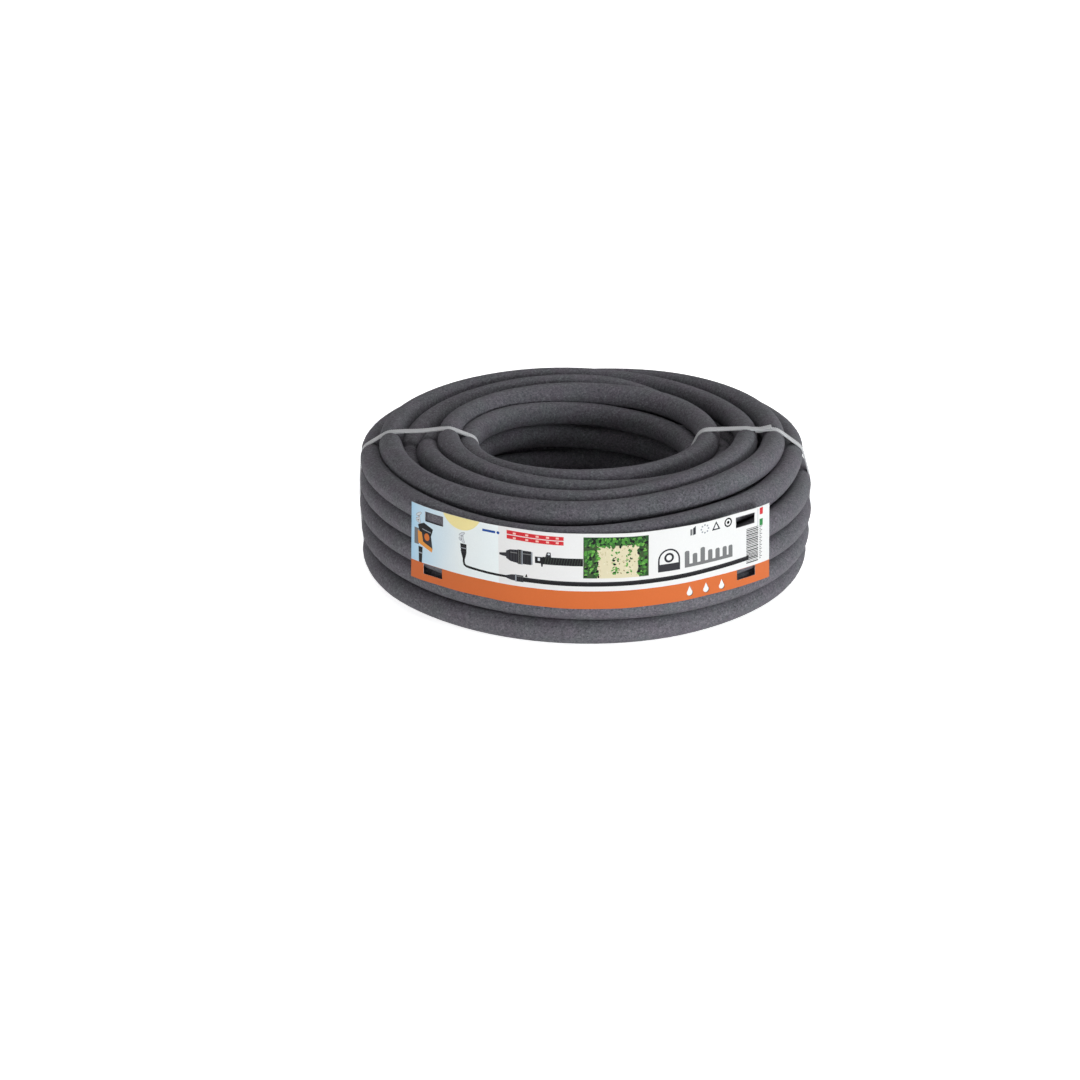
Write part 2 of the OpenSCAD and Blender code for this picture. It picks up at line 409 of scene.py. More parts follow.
crossing = np.round((ring_s - (START - 90)) / 180).astype(int)
depth = np.array([sink(1 if c % 2 == 0 else -1, c // 2) for c in crossing])
depth = np.concatenate([np.zeros(len(out_pts)), depth, np.zeros(len(in_pts))])
radius = R_HOSE - depth * (0.72 * np.exp(-((off / 0.0037) ** 2)) + 0.28 * np.exp(-((off / 0.011) ** 2)))
hose = tube("soaker_hose", path, radius, 24, 0.0065)
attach(hose, "root")
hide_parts("hose_coil", "hose_outer_end", "hose_inner_end")


# --------------------------------------------------------------------------
# ties: flat ribbed straps round the section, in the grooves that they press
# --------------------------------------------------------------------------
TIE_W, TIE_T = 0.0068, 0.0012


def add_object(name, verts, faces, sharp=40):
    mesh = bpy.data.meshes.new(name)
    mesh.from_pydata([tuple(v) for v in verts], [], [tuple(int(i) for i in f) for f in faces])
    bm = bmesh.new()
    bm.from_mesh(mesh)
    bmesh.ops.recalc_face_normals(bm, faces=bm.faces)
    bm.to_mesh(mesh)
    bm.free()
    mesh.polygons.foreach_set("use_smooth", [True] * len(mesh.polygons))
    if sharp:
        mesh.set_sharp_from_angle(angle=math.radians(sharp))
    obj = bpy.data.objects.new(name, mesh)
    SCENE.collection.objects.link(obj)
    return obj


def hull(points):
    """Convex hull, anticlockwise."""
    p = sorted(map(tuple, points))

    def half(seq):
        out = []
        for q in seq:
            while len(out) > 1 and (
                (out[-1][0] - out[-2][0]) * (q[1] - out[-2][1])
                - (out[-1][1] - out[-2][1]) * (q[0] - out[-2][0])
            ) <= 0:
                out.pop()
            out.append(q)
        return out[:-1]

    return np.array(half(p) + half(p[::-1]))


def ease(x):
    x = np.clip(x, 0, 1)
    return x * x * (3 - 2 * x)


def strap(name, side, first, joint, overlap, dips, lift):
    """A strap round the turns that cross the plane at the angle `first` of the
    winding. It starts at the point `joint`, runs out over the top, down, and
    back under, and its end lies on its start over the length `overlap`."""
    a = np.arange(first, START + 360 * TURNS, 360.0)
    if side < 0:
        a = a[:-1]  # the last turn lies loose past the left strap
    mid = np.stack([spline_even(wind_s, wind_p[:, k], a) for k in (0, 1)], 1) * D
    rho = np.array([R_HOSE - sink(side, k) + TIE_T / 2 + 0.00016 for k in range(len(a))])
    t = np.linspace(0, 2 * np.pi, 180, endpoint=False)
    ring = rho[:, None, None] * np.stack([np.cos(t), np.sin(t)], 1)[None]
    loop = hull((mid[:, None, :] + ring).reshape(-1, 2))[::-1]
    # even steps, and softer bends where the strap leaves a turn
    loop = np.concatenate([loop, loop[:1]])
    arc = np.concatenate([[0], np.cumsum(np.hypot(*np.diff(loop, axis=0).T))])
    even = np.arange(0, arc[-1], 0.0003)
    loop = np.stack([np.interp(even, arc, loop[:, k]) for k in (0, 1)], 1)
    g = np.exp(-0.5 * (np.arange(-18, 19) / 6.0) ** 2)
    g /= g.sum()
    loop = np.stack([np.convolve(np.pad(loop[:, k], 18, mode="wrap"), g, "valid") for k in (0, 1)], 1)
    loop = np.concatenate([loop, loop[:1]])
    arc = np.concatenate([[0], np.cumsum(np.hypot(*np.diff(loop, axis=0).T))])
    total = arc[-1]

    def place(s):
        return np.stack([np.interp(s % total, arc, loop[:, k]) for k in (0, 1)], 1)

    grid = np.arange(0, total, 0.0002)
    start = grid[np.hypot(*(place(grid) - np.array(joint)).T).argmin()]
    n = int((total + overlap) / 0.0004)
    s = np.linspace(0, total + overlap, n)
    p = place(start + s)
    tan = place(start + s + 0.0006) - place(start + s - 0.0006)
    tan /= np.hypot(*tan.T)[:, None]
    nrm = np.stack([-tan[:, 1], tan[:, 0]], 1)
    rise = ease((s - (total - 0.004)) / 0.006) * (TIE_T + 0.0002)
    rise = rise + lift * ease((s - (total + overlap - 0.005)) / 0.006)
    for r, depth, width in dips:
        rise = rise - depth * np.exp(-(((p[:, 0] - r) / width) ** 2)) * (p[:, 1] > 0.085)
    p = p + nrm * rise[:, None]
    # section: the inner face is flat, the outer one has cross ribs
    w, h, c = TIE_W / 2, TIE_T / 2, 0.00028
    sec = [(-w, -h + c), (-w + c, -h), (0, -h), (w - c, -h), (w, -h + c),
           (w, h - c), (w - c, h), (w * 0.45, h), (0, h), (-w * 0.45, h), (-w + c, h), (-w, h - c)]
    rib = 0.00022 * (0.5 + 0.5 * np.cos(2 * np.pi * s / 0.0016))
    verts = []
    for i in range(n):
        for k, (y, q) in enumerate(sec):
            q = q + (rib[i] if 6 <= k <= 10 else 0)
            verts.append((side * (p[i, 0] + nrm[i, 0] * q), y, p[i, 1] + nrm[i, 1] * q))
    m = len(sec)
    faces = [
        (i * m + k, i * m + (k + 1) % m, (i + 1) * m + (k + 1) % m, (i + 1) * m + k)
        for i in range(n - 1)
        for k in range(m)
    ]
    faces += [tuple(range(m)), tuple(range((n - 1) * m, n * m))[::-1]]
    return add_object(name, verts, faces, sharp=50)


tie_l = strap("tie_strap_left", -1, START + 90, (0.0780, 0.048), 0.014, [(0.1305, 0.0006, 0.010)], 0.0)
tie_r = strap("tie_strap_right", 1, START - 90, (0.1335, 0.1062), 0.0125, [(0.1360, 0.0017, 0.0048)], 0.0009)
for piece, node in ((tie_l, "tie_left"), (tie_r, "tie_right")):
    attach(piece, "root")
    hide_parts(node)


# --------------------------------------------------------------------------
# label: a thin printed film, bent round the outer wall, with four windows
# --------------------------------------------------------------------------
FILM_T = 0.0003
film_th = np.arange(-60, 64.1, 1.0)


def turn(k):
    a = START - film_th + 360 * k
    return (
        np.interp(a, wind_s, wind_p[:, 0]) * D + R_HOSE,
        np.interp(a, wind_s, wind_p[:, 1]) * D,
    )


def soften(y, w=4.0):
    k = np.exp(-0.5 * (np.arange(-12, 13) / w) ** 2)
    return np.convolve(np.pad(y, 12, mode="edge"), k / k.sum(), "valid")


held_by = [turn(k) for k in (0, 9, 10, 11)]
film_slope = soften(
    np.clip((held_by[0][0] - held_by[2][0]) / (held_by[0][1] - held_by[2][1]), 0, 0.07)
)
need = np.max([r - film_slope * (z - 0.06) for r, z in held_by], 0)
film_base = soften(need)
film_base = soften(film_base + 1.5 * np.maximum(0, need - film_base))
film_base = film_base + max(0, (need - film_base).max()) + 0.0002
# the film's lower and upper edge, in millimetres above the floor
EDGE_TH = [-48, -37, -26, -17, -8, 0, 8, 15, 23, 32, 40, 51.5]
EDGE_LOW = [31.8, 33.2, 33.2, 32.4, 31.8, 31.8, 31.8, 32.1, 32.5, 33.1, 32.4, 29.9]
EDGE_TOP = [93.8, 94.7, 95.1, 94.6, 93.4, 92.6, 92.1, 92.1, 92.6, 93.2, 93.3, 91.5]
film_low = soften(np.interp(film_th, EDGE_TH, EDGE_LOW), 3.0)
film_top = soften(np.interp(film_th, EDGE_TH, EDGE_TOP), 3.0)
LABEL_W, LABEL_H = 308.0, 60.0


def on_film(u, v, proud):
    """Point of the film at u along it and v up it, in millimetres."""
    u, v = np.asarray(u, float), np.asarray(v, float)
    f = v / LABEL_H
    th0 = -47.5 + 0.8 * f
    th1 = 50.9 - 0.9 * f
    th = th0 + (th1 - th0) * u / LABEL_W
    z = (np.interp(th, film_th, film_low) * (1 - f) + np.interp(th, film_th, film_top) * f) / 1000
    r = np.interp(th, film_th, film_base) + np.interp(th, film_th, film_slope) * (z - 0.06)
    # slight waves along the free edges
    r = r + 0.00025 * np.sin(u / 9.0) * f**3 + 0.0002 * np.sin(u / 7.0 + 1) * (1 - f) ** 3 + 0.0004 + proud
    a = np.radians(th)
    return np.stack([r * np.sin(a), -r * np.cos(a), z], -1)


def ink(r, g, b):
    return tuple(
        (c / 255 / 12.92 if c < 11 else ((c / 255 + 0.055) / 1.055) ** 2.4) for c in (r, g, b)
    )


WHITE, ORANGE, RED, BLUE = ink(240, 240, 240), ink(219, 112, 55), ink(214, 44, 52), ink(28, 78, 160)
YELLOW, BLACK, CHAR, GREY = ink(255, 240, 170), ink(20, 20, 23), ink(50, 50, 56), ink(122, 123, 124)
PALE, STEEL, SOIL, GREEN = ink(224, 230, 236), ink(150, 156, 164), ink(206, 196, 158), ink(82, 152, 62)
LEAF, MOSS, AMBER, SAND = ink(112, 182, 78), ink(38, 78, 40), ink(240, 160, 70), ink(228, 219, 186)
DUSK = ink(150, 132, 96)
art = []  # polygons from the bottom layer to the top one


def poly(points, colour):
    art.append((np.array(points, float), colour))


def rect(u0, v0, u1, v1, colour):
    poly([(u0, v0), (u1, v0), (u1, v1), (u0, v1)], colour)


def oval(u, v, ru, rv, colour, n=20, turned=0.0):
    t = np.linspace(0, 2 * np.pi, n, endpoint=False)
    x, y = ru * np.cos(t), rv * np.sin(t)
    c, q = math.cos(turned), math.sin(turned)
    poly(np.stack([u + c * x - q * y, v + q * x + c * y], 1), colour)


def stroke(points, width, colour):
    p = np.array(points, float)
    d = np.gradient(p, axis=0)
    d /= np.hypot(*d.T)[:, None]
    q = np.stack([-d[:, 1], d[:, 0]], 1) * width / 2
    poly(np.concatenate([p + q, (p - q)[::-1]]), colour)


def drop(u, v, r, colour):
    t = np.linspace(-0.8, math.pi + 0.8, 14)
    pts = [(u + r * math.cos(-a), v + r * math.sin(-a)) for a in t]
    poly(pts + [(u, v + 2.3 * r)], colour)


def pump(u, v, k):
    """A small garden pump: handle, stem, body and spout, pale with an outline."""
    for grow, colour in ((0.42, STEEL), (0.0, PALE)):
        oval(u, v + 7.6 * k, 3.2 * k + grow, 0.8 * k + grow, colour, 14, 0.5)
        stroke([(u + 0.1, v + 7.2 * k), (u + 0.3, v + 5.0 * k), (u + 0.4, v + 3.0 * k)], 1.3 * k + 2 * grow, colour)
        oval(u - 0.6, v + 2.6 * k, 2.4 * k + grow, 1.5 * k + grow, colour, 14, -0.3)
        stroke([(u + 0.9, v + 2.0 * k), (u + 1.5, v + 0.4 * k), (u + 1.6, v - 0.6)], 1.2 * k + 2 * grow, colour)
    oval(u - 0.6, v + 2.6 * k, 1.0 * k, 0.6 * k, GREY, 10)
    oval(u + 0.1, v + 5.9 * k, 0.9 * k, 0.4 * k, GREY, 10)


def draw_label():
    # panels
    rect(0, 14.2, 83, 60, "sky")
    rect(0, 0, LABEL_W, 14.2, ORANGE)
    # half disc on the upper edge
    t = np.linspace(math.radians(-152), math.radians(-28), 22)
    poly([(51.0 + 19.0 * math.cos(a), 69.0 + 19.0 * math.sin(a)) for a in t], YELLOW)
    # small pump and flower pot, at the left
    pump(8.6, 45.0, 1.0)
    rect(3.6, 28.0, 8.6, 41.0, GREY)
    poly([(7.6, 44.0), (14.5, 47.0), (24.0, 43.6), (21.5, 36.6), (9.4, 38.4)], BLACK)
    poly([(9.0, 38.0), (21.8, 38.0), (23.4, 27.4), (11.6, 30.2)], CHAR)
    poly([(7.4, 39.4), (11.8, 38.6), (13.4, 31.4), (23.4, 28.0), (22.6, 24.8), (8.0, 29.4)], AMBER)
    oval(17.4, 36.0, 2.7, 3.0, ink(226, 122, 48), 16)
    stroke([(12.4, 41.6), (21.6, 40.4)], 0.7, STEEL)
    poly([(8.2, 26.8), (12.8, 26.8), (12.4, 20.0), (12.2, 14.2), (8.8, 14.2), (8.6, 20.0)], BLACK)
    rect(8.4, 21.2, 12.6, 22.2, STEEL)
    # second pump, its connector and a thin hose to the right
    pump(52.0, 40.6, 0.85)
    bend = [(53.4, 29.5), (53.4, 25.0), (53.9, 22.9), (55.5, 21.9), (59.0, 21.5)]
    stroke(bend + [(66, 21.0), (74, 20.6), (82, 20.5), (90, 20.6)], 1.9, BLACK)
    poly([(50.4, 39.4), (56.0, 39.4), (55.8, 32.2), (54.6, 27.6), (52.4, 27.6), (51.0, 32.2)], BLACK)
    rect(50.3, 35.6, 56.2, 36.3, STEEL)
    rect(50.6, 33.0, 56.0, 33.5, CHAR)
    rect(50.6, 37.6, 56.0, 38.1, CHAR)
    # a word's place holds a plain bar with a dot
    rect(70.0, 53.4, 80.6, 55.3, BLUE)
    oval(82.8, 54.3, 1.2, 1.2, BLUE, 14)
    # red table without entries
    for v in (50.2, 53.9):
        poly([(89.6, v + 0.8), (111, v + 0.2), (132.6, v), (132.6, v + 3.1), (111, v + 3.3), (89.6, v + 3.9)], RED)
        for u in (94.5, 104.0, 111.8, 119.6, 126.8):
            rect(u, v + 1.0, u + 2.2, v + 2.5, ink(244, 196, 186))
    # large connector and the end of a hose
    poly([(83.6, 38.9), (89.4, 39.9), (89.4, 36.4), (83.6, 37.2)], CHAR)
    poly([(89.0, 35.4), (92.4, 33.4), (98.0, 32.6), (98.0, 43.2), (92.2, 42.8), (89.0, 41.2)], CHAR)
    for u in (91.6, 93.9, 96.0):
        rect(u, 34.2, u + 0.5, 41.8, BLACK)
    rect(92.4, 40.2, 97.6, 40.9, GREY)
    rect(98.0, 32.0, 101.0, 43.6, BLACK)
    for u in (98.7, 99.9):
        rect(u, 32.4, u + 0.35, 43.2, GREY)
    rect(101.0, 31.8, 101.9, 43.6, STEEL)
    rect(101.9, 32.4, 108.4, 43.2, CHAR)
    for u in np.arange(102.6, 108.0, 1.1):
        rect(u, 32.6, u + 0.5, 43.0, BLACK)
    rect(102.2, 40.4, 108.2, 41.0, GREY)
    rect(108.4, 32.8, 109.4, 42.8, STEEL)
    rect(111.2, 34.6, 117.0, 39.8, BLACK)
    rect(113.4, 36.6, 115.0, 39.0, PALE)
    rect(117.0, 34.2, 147.0, 40.2, BLACK)
    for k in range(14):
        stroke([(118.4 + 2 * k, 34.2), (119.8 + 2 * k, 40.2)], 0.45, ink(58, 66, 60))
    poly([(119.0, 40.2), (123.4, 40.2), (123.0, 44.0), (120.2, 44.0)], CHAR)
    poly([(115.6, 34.6), (117.4, 34.6), (117.0, 32.2), (116.0, 32.2)], CHAR)
    oval(121.6, 42.6, 0.9, 0.7, PALE, 10)
    # small connector on the long hose
    poly([(89.0, 19.4), (93.0, 18.4), (96.0, 18.2), (96.0, 23.2), (93.0, 22.9), (89.0, 21.6)], CHAR)
    rect(96.0, 17.6, 97.0, 23.6, STEEL)
    rect(97.0, 17.8, 102.4, 23.2, CHAR)
    for u in (97.8, 99.2, 100.6):
        rect(u, 17.9, u + 0.5, 23.1, BLACK)
    rect(97.2, 21.8, 102.2, 22.3, GREY)
    poly([(103.4, 22.4), (105.6, 22.2), (104.8, 25.0)], BLACK)
    run = [(u, 20.1 - 0.35 * math.sin((u - 102) / 180 * math.pi) + 1.4 * ((u - 102) / 180) ** 3) for u in range(102, 285, 7)]
    stroke(run, 3.6, BLACK)
    stroke([(u, v + 0.9) for u, v in run], 0.4, CHAR)
    # garden panel: rows of plants and a bed of gravel
    rect(147.2, 24.6, 196.4, 57.2, SAND)
    rng = np.random.default_rng(11)
    for _ in range(210):
        u, v = rng.uniform(148.6, 195.0), rng.uniform(25.8, 56.0)
        k = rng.uniform(0.35, 1.0)
        oval(u, v, k, k * 0.6, [SOIL, DUSK, ink(236, 230, 204)][rng.integers(3)], 6, rng.uniform(0, 3))

    def bush(u0, u1, v0, v1, count, size):
        for _ in range(count):
            u, v = rng.uniform(u0, u1), rng.uniform(v0, v1)
            k = rng.uniform(0.6, 1.0) * size
            colour = [GREEN, LEAF, MOSS, BLACK, GREEN, ink(60, 120, 50)][rng.integers(6)]
            u = min(max(u, 147.3 + k), 196.3 - k)
            v = min(max(v, 24.7 + k), 57.1 - k)
            oval(u, v, k, k * rng.uniform(0.4, 0.8), colour, 7, rng.uniform(0, 3))

    rect(147.2, 50.4, 196.4, 57.2, MOSS)
    rect(147.2, 24.6, 157.6, 50.6, ink(60, 84, 48))
    rect(189.0, 24.6, 196.4, 50.6, ink(60, 84, 48))
    bush(147.5, 196, 49.4, 57, 120, 1.9)
    bush(147.5, 158.8, 25, 51, 80, 1.9)
    bush(188.0, 196, 25, 51, 60, 1.8)
    bush(168, 174, 28, 47, 26, 1.3)
    bush(179, 184, 28, 47, 22, 1.2)
    # arch with the section of a pipe in it
    t = np.linspace(0, math.pi, 16)
    poly([(203.6, 26.0)] + [(212.4 - 8.8 * math.cos(a), 35.0 + 9.0 * math.sin(a)) for a in t] + [(221.2, 26.0)], CHAR)
    poly([(204.9, 32.0)] + [(212.4 - 7.5 * math.cos(a), 35.0 + 7.7 * math.sin(a)) for a in t] + [(219.9, 32.0)], WHITE)
    oval(212.4, 36.8, 3.9, 3.9, CHAR, 22)
    oval(212.4, 36.8, 2.2, 2.2, WHITE, 18)
    # plain measuring bars
    for k, (u, h) in enumerate([(225.0, 13.4), (231.6, 10.4), (238.2, 13.8), (244.8, 10.6), (251.4, 10.2), (258.0, 10.0), (263.6, 9.8)]):
        low = 26.4 + 0.02 * k
        poly([(u, low), (u + 3.9, low), (u + 3.9, low + h - 0.9), (u + 3.0, low + h), (u + 0.9, low + h), (u, low + h - 0.9)], GREY)
    rect(225.0, 26.4, 267.5, 29.0, GREY)
    # four small marks
    rect(229.6, 51.6, 231.4, 56.6, GREY)
    poly([(231.9, 51.4), (234.2, 52.0), (234.2, 58.6), (231.9, 57.0)], CHAR)
    for k in range(8):
        a = k * math.pi / 4
        oval(242.0 + 3.1 * math.cos(a), 54.6 + 3.1 * math.sin(a), 0.75, 0.75, STEEL, 8)
    poly([(248.2, 51.6), (256.0, 51.6), (252.1, 58.6)], CHAR)
    poly([(250.1, 52.7), (254.1, 52.7), (252.1, 56.5)], WHITE)
    oval(263.4, 54.9, 3.7, 3.7, BLACK, 20)
    oval(263.4, 54.9, 2.5, 2.5, WHITE, 16)
    oval(263.4, 54.9, 1.3, 1.3, BLACK, 12)
    # stack of plain bars, colour marks and a fine rule at the right
    v = 17.0
    while v < 45.0:
        h = rng.uniform(0.35, 1.05)
        rect(281.6, v, 294.6, v + h, BLACK)
        v += h + rng.uniform(0.35, 0.7)
    for k in range(18):
        rect(296.0, 18.0 + 1.5 * k, 297.8 + 1.3 * (k % 2), 18.7 + 1.5 * k, GREY)
    rect(296.0, 53.6, 299.8, 59.0, RED)
    rect(296.0, 44.6, 299.8, 50.0, ink(46, 140, 72))
    rect(293.8, 44.8, 294.2, 59.0, STEEL)
    # three drops on the orange band
    for k, u in enumerate((229.0, 243.0, 257.0)):
        drop(u + 0.5, 5.0 - 0.3 * k, 2.4, BLACK)
        drop(u, 5.5 - 0.3 * k, 2.4, ink(244, 244, 242))


draw_label()
WINDOWS = [(15.6, 48.4, 34.2, 56.4), (13.9, 5.6, 32.8, 14.0), (271.0, 48.3, 290.4, 56.8), (271.8, 5.8, 291.4, 14.0)]


def inside(p, q):
    """Which of the points p lie in the polygon q."""
    x, y = p[:, 0], p[:, 1]
    hit = np.zeros(len(p), bool)
    for (x0, y0), (x1, y1) in zip(q, np.roll(q, -1, axis=0)):
        if y0 == y1:
            continue
        cross = (y0 > y) != (y1 > y)
        hit ^= cross & (x < (x1 - x0) * (y - y0) / (y1 - y0) + x0)
    return hit


def label_mesh():
    pts, edges = [], []

    def outline(q):
        # long edges are cut up so that they follow the bend
        q = np.array(q, float)
        fine = []
        for a, b in zip(q, np.roll(q, -1, axis=0)):
            k = max(1, math.ceil(abs(b[0] - a[0]) / 3.08))
            fine.extend(tuple(a + (b - a) * i / k) for i in range(k))
        n = len(pts)
        pts.extend(fine)
        edges.extend((n + i, n + (i + 1) % len(fine)) for i in range(len(fine)))

    border = [(u, 0.0) for u in np.arange(0, LABEL_W, 3.08)] + [(LABEL_W, v) for v in np.arange(0, 60, 6.0)]
    border += [(u, LABEL_H) for u in np.arange(LABEL_W, 0, -3.08)] + [(0.0, v) for v in np.arange(60, 0, -6.0)]
    outline(border)
    for q, _ in art:
        outline(np.clip(q, 0, [LABEL_W, LABEL_H]))
    for u0, v0, u1, v1 in WINDOWS:
        outline([(u0, v0), (u1, v0), (u1, v1), (u0, v1)])
    for v in range(6, 60, 6):
        pts.extend((float(u), float(v) + 0.013) for u in np.arange(3.08, LABEL_W - 1, 3.08))
    out = delaunay_2d_cdt([Vector(p) for p in pts], edges, [], 0, 1e-4, False)
    P2 = np.array([tuple(v) for v in out[0]])
    F = np.array([f for f in out[2]])
    mid = P2[F].mean(1)
    keep = np.ones(len(F), bool)
    for u0, v0, u1, v1 in WINDOWS:
        keep &= ~((mid[:, 0] > u0) & (mid[:, 0] < u1) & (mid[:, 1] > v0) & (mid[:, 1] < v1))
    area = np.cross(P2[F[:, 1]] - P2[F[:, 0]], P2[F[:, 2]] - P2[F[:, 0]])
    keep &= np.abs(area) > 1e-7
    F, mid, area = F[keep], mid[keep], area[keep]
    F[area < 0] = F[area < 0][:, ::-1]
    used = np.unique(F)
    remap = np.full(len(P2), -1)
    remap[used] = np.arange(len(used))
    P2, F = P2[used], remap[F]
    n = len(P2)
    layer = np.full(len(F), -1)
    for k, (q, _) in enumerate(art):
        layer[inside(mid, q)] = k
    # rim: edges that only one triangle has
    seen = {}
    for f in F:
        for i in range(3):
            e = (f[i], f[(i + 1) % 3])
            if (e[1], e[0]) in seen:
                del seen[(e[1], e[0])]
            else:
                seen[e] = 1
    front, back = on_film(P2[:, 0], P2[:, 1], FILM_T), on_film(P2[:, 0], P2[:, 1], 0)
    faces = [tuple(f) for f in F] + [tuple(f[::-1] + n) for f in F]
    faces += [(b, a, a + n, b + n) for a, b in seen]
    mesh = bpy.data.meshes.new("label_film")
    mesh.from_pydata(np.concatenate([front, back]).tolist(), [], [tuple(int(i) for i in f) for f in faces])
    mesh.update()
    mesh.polygons.foreach_set("use_smooth", [True] * len(mesh.polygons))
    mesh.set_sharp_from_angle(angle=math.radians(40))
    # ink of each face's corners, and the map named OFBake
    uv2 = np.concatenate([P2, P2])
    corner = np.array([l.vertex_index for l in mesh.loops])
    face_of = np.repeat(np.arange(len(faces)), [len(f) for f in faces])
    u, v = uv2[corner, 0], uv2[corner, 1]
    col = np.ones((len(corner), 4))
    col[:, :3] = WHITE
    is_front = face_of < len(F)
    lay = np.where(is_front, layer[np.minimum(face_of, len(F) - 1)], -1)
    for k, (_, colour) in enumerate(art):
        on = lay == k
        if not on.any():
            continue
        if colour == "sky":
            t = np.clip(u[on] / 52, 0, 1)[:, None] ** 0.75
            cloud = 0.03 * np.sin(u[on] / 6 + 1.7 * np.sin(v[on] / 9))[:, None]
            far, close = np.array(ink(246, 254, 255)), np.array(ink(180, 225, 253))
            col[on, :3] = close + (far - close) * np.clip(t + cloud, 0, 1)
        else:
            col[on, :3] = colour
    layer_c = mesh.color_attributes.new("ink", "FLOAT_COLOR", "CORNER")
    layer_c.data.foreach_set("color", col.ravel())
    uv = mesh.uv_layers.new(name="OFBake")
    w = np.where(is_front, 0.005 + 0.80 * v / LABEL_H, 0.83 + 0.16 * v / LABEL_H)
    uv.data.foreach_set("uv", np.stack([0.002 + 0.996 * u / LABEL_W, w], 1).ravel())
    obj = bpy.data.objects.new("label_film", mesh)
    SCENE.collection.objects.link(obj)
    print("label faces", len(faces))
    return obj


label = label_mesh()
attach(label, "root")
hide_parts("label_band")


# --------------------------------------------------------------------------
# materials
# --------------------------------------------------------------------------
class Nodes:
    def __init__(self, name):
        self.mat = bpy.data.materials.new(name)
        self.mat.use_nodes = True
        self.tree = self.mat.node_tree
        self.bsdf = self.tree.nodes["Principled BSDF"]
        self.coord = self.tree.nodes.new("ShaderNodeTexCoord").outputs["Object"]

    def node(self, kind, **settings):
        n = self.tree.nodes.new(kind)
        for k, v in settings.items():
            setattr(n, k, v)
        return n

    def put(self, socket, value):
        if hasattr(value, "is_output") or isinstance(value, bpy.types.NodeSocket):
            self.tree.links.new(value, socket)
        else:
            socket.default_value = value

    def noise(self, scale, detail=2.0, rough=0.5, vector=None):
        n = self.node("ShaderNodeTexNoise")
        self.put(n.inputs["Vector"], vector or self.coord)
        n.inputs["Scale"].default_value = scale
        n.inputs["Detail"].default_value = detail
        n.inputs["Roughness"].default_value = rough
        return n.outputs["Fac"]

    def voronoi(self, scale, out="Distance", feature="F1", vector=None):
        n = self.node("ShaderNodeTexVoronoi", feature=feature)
        self.put(n.inputs["Vector"], vector or self.coord)
        n.inputs["Scale"].default_value = scale
        return n.outputs[out]

    def math(self, op, a, b=0.0, clamp=False):
        n = self.node("ShaderNodeMath", operation=op, use_clamp=clamp)
        self.put(n.inputs[0], a)
        self.put(n.inputs[1], b)
        return n.outputs[0]

    def ramp(self, fac, stops):
        n = self.node("ShaderNodeValToRGB")
        r = n.color_ramp
        while len(r.elements) < len(stops):
            r.elements.new(0.5)
        for e, (pos, col) in zip(r.elements, stops):
            e.position = pos
            e.color = (*col, 1) if len(col) == 3 else col
        self.put(n.inputs["Fac"], fac)
        return n.outputs["Color"]

    def mix(self, fac, a, b, blend="MIX"):
        n = self.node("ShaderNodeMix", data_type="RGBA", blend_type=blend)
        self.put(n.inputs[0], fac)
        for i, v in ((6, a), (7, b)):
            self.put(n.inputs[i], (*v, 1) if isinstance(v, tuple) and len(v) == 3 else v)
        return n.outputs[2]

    def bump(self, height, strength, distance, normal=None):
        n = self.node("ShaderNodeBump")
        n.inputs["Strength"].default_value = strength
        n.inputs["Distance"].default_value = distance
        self.put(n.inputs["Height"], height)
        if normal is not None:
            self.put(n.inputs["Normal"], normal)
        return n.outputs["Normal"]


def porous_rubber():
    """Crumb rubber pressed into a porous wall: grains of about a millimetre in
    slightly different greys, fine pits between them, dull, with a few paler
    rubbed patches."""
    m = Nodes("porous_rubber")
    grains = m.voronoi(820, "Color")
    sep = m.node("ShaderNodeSeparateColor")
    m.put(sep.inputs[0], grains)
    grain = m.math("SUBTRACT", sep.outputs[0], 0.5)
    fine = m.math("SUBTRACT", m.noise(1500, 3.0, 0.6), 0.5)
    blotch = m.math("SUBTRACT", m.noise(560, 2.0, 0.55), 0.5)
    broad = m.math("SUBTRACT", m.noise(14, 2.0, 0.5), 0.5)
    tone = m.math("MULTIPLY", grain, 0.34)
    tone = m.math("ADD", tone, m.math("MULTIPLY", fine, 1.1))
    tone = m.math("ADD", tone, m.math("MULTIPLY", blotch, 0.85))
    tone = m.math("ADD", tone, m.math("MULTIPLY", broad, 0.30))
    fac = m.math("ADD", tone, 0.5, clamp=True)
    colour = m.ramp(fac, [
        (0.0, (0.038, 0.036, 0.041)), (0.38, (0.095, 0.091, 0.102)),
        (0.62, (0.126, 0.121, 0.135)), (1.0, (0.216, 0.209, 0.229))])
    tint = m.ramp(m.noise(60, 1.0, 0.5), [(0.3, (1.04, 0.98, 1.05)), (0.7, (0.96, 1.02, 1.005))])
    colour = m.mix(1.0, colour, tint, "MULTIPLY")
    m.put(m.bsdf.inputs["Base Color"], colour)
    rough = m.math("ADD", m.math("MULTIPLY", blotch, 0.25), 0.74, clamp=True)
    m.put(m.bsdf.inputs["Roughness"], rough)
    m.bsdf.inputs["Specular IOR Level"].default_value = 0.35
    pits = m.voronoi(820, "Distance")
    height = m.math("ADD", m.math("MULTIPLY", pits, -0.8), m.math("MULTIPLY", fine, 1.3))
    m.put(m.bsdf.inputs["Normal"], m.bump(height, 0.55, 0.00028))
    return m.mat


